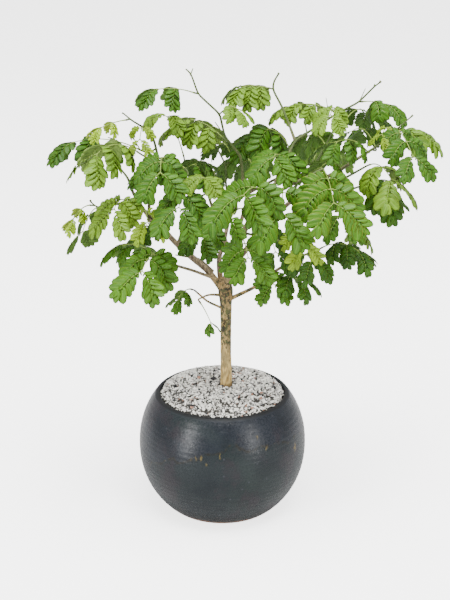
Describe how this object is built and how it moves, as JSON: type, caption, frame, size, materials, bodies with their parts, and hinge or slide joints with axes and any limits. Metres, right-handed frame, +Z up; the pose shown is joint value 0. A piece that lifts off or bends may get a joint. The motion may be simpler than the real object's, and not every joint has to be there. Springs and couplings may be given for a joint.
{
  "type": "potted bonsai tree",
  "caption": "Bonsai rain tree with a bare trunk and a wide crown of drooping feathery compound leaves, in a round dark-glazed pot dressed with granite grit.",
  "frame": {"origin": "centre of the pot's flat foot, on the table", "axes": "+Z up along the trunk, +X to the right of the crown as the picture shows it, -Y towards the viewer"},
  "size_m": [0.3363, 0.2806, 0.3974],
  "materials": {
    "pot_glaze": "semi-gloss charcoal blue-grey glaze over reddish stoneware, with a wavy drip line and ochre streaks",
    "soil_mix": "dark crumbly potting soil, hidden under the grit",
    "granite_grit": "matte crushed granite, white and grey with dark and terracotta chips",
    "bark": "matte tan bark with dark moss spots, greener on the young twigs",
    "leaf_dark": "satin dark green leaf",
    "leaf_mid": "satin mid green leaf",
    "leaf_pale": "satin pale green leaf",
    "leaf_young": "satin yellow-green young leaf"
  },
  "bodies": {
    "root": {"pot": "pot_glaze", "soil": "soil_mix", "gravel": "granite_grit", "wood": "bark", "frond_top_left_1": "leaf_mid", "frond_top_left_2": "leaf_pale", "frond_top_left_3": "leaf_young", "frond_far_left_1": "leaf_young", "frond_far_left_2": "leaf_dark", "frond_far_left_3": "leaf_pale", "frond_left_1": "leaf_mid", "frond_left_2": "leaf_mid", "frond_left_3": "leaf_pale", "frond_back_1": "leaf_dark", "frond_back_2": "leaf_dark", "frond_left_4": "leaf_pale", "frond_top_1": "leaf_pale", "frond_top_2": "leaf_pale", "frond_top_3": "leaf_pale", "frond_top_4": "leaf_mid", "frond_top_5": "leaf_mid", "frond_top_right_1": "leaf_pale", "frond_top_right_2": "leaf_dark", "frond_top_right_3": "leaf_mid", "frond_far_right_1": "leaf_young", "frond_far_right_2": "leaf_pale", "frond_far_right_3": "leaf_mid", "frond_right_1": "leaf_dark", "frond_right_2": "leaf_mid", "frond_right_3": "leaf_dark", "frond_right_4": "leaf_pale", "frond_right_5": "leaf_dark", "frond_right_6": "leaf_mid", "frond_front_1": "leaf_mid", "frond_right_7": "leaf_dark", "frond_right_8": "leaf_pale", "frond_front_2": "leaf_young", "frond_front_3": "leaf_mid", "frond_low_right_1": "leaf_dark", "frond_low_right_2": "leaf_dark", "frond_low_right_3": "leaf_mid", "frond_low_right_4": "leaf_dark", "frond_front_4": "leaf_mid", "frond_front_5": "leaf_mid", "frond_front_6": "leaf_mid", "frond_middle_1": "leaf_dark", "frond_front_7": "leaf_mid", "frond_low_left_1": "leaf_dark", "frond_low_left_2": "leaf_mid", "frond_low_left_3": "leaf_mid", "frond_left_5": "leaf_pale", "frond_left_6": "leaf_young", "frond_far_left_4": "leaf_young", "frond_far_left_5": "leaf_mid", "frond_low_left_4": "leaf_mid", "frond_low_left_5": "leaf_mid", "frond_low_right_5": "leaf_mid", "frond_back_3": "leaf_mid", "frond_back_4": "leaf_dark", "frond_back_5": "leaf_mid"}
  },
  "joints": []
}
